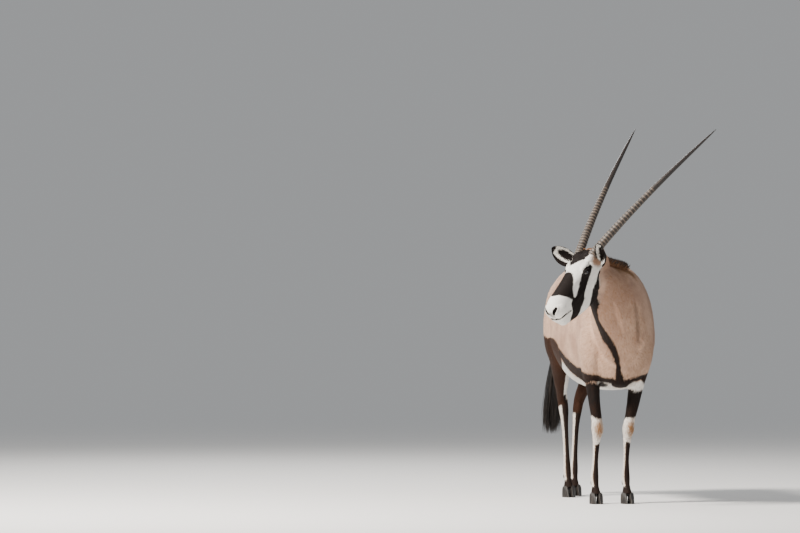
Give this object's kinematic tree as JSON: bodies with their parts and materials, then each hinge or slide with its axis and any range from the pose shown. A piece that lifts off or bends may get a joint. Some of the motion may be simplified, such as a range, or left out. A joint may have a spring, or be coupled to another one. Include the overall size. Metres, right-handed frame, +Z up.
{
  "type": "gemsbok figure",
  "caption": "Life-size standing gemsbok, a large antelope with long straight ringed horns, a black and white face and a horse-like tail, its head turned to its right.",
  "frame": {"origin": "on the floor under the middle of the whole model's bounding box, at the level of the four hooves' soles", "axes": "+Z up, -Y the way the body faces, +X to the animal's left; the head is turned towards -X"},
  "size_m": [0.885, 1.8082, 1.8576],
  "materials": {
    "tan_coat": "short hair coat",
    "face_coat": "short hair coat",
    "leg_coat": "short hair coat",
    "tail_hair": "long coarse hair",
    "horn": "ringed horn",
    "hoof": "worn horn",
    "eye": "wet gloss"
  },
  "bodies": {
    "root": {"torso": "tan_coat", "neck": "tan_coat", "head": "face_coat", "ear_left": "face_coat", "ear_right": "face_coat", "eye_left": "eye", "eye_right": "eye", "horn_left": "horn", "horn_right": "horn", "foreleg_left": "leg_coat", "foreleg_right": "leg_coat", "hindleg_left": "leg_coat", "hindleg_right": "leg_coat", "forehoof_left": "hoof", "forehoof_right": "hoof", "hindhoof_left": "hoof", "hindhoof_right": "hoof", "tail": "tail_hair"}
  },
  "joints": []
}
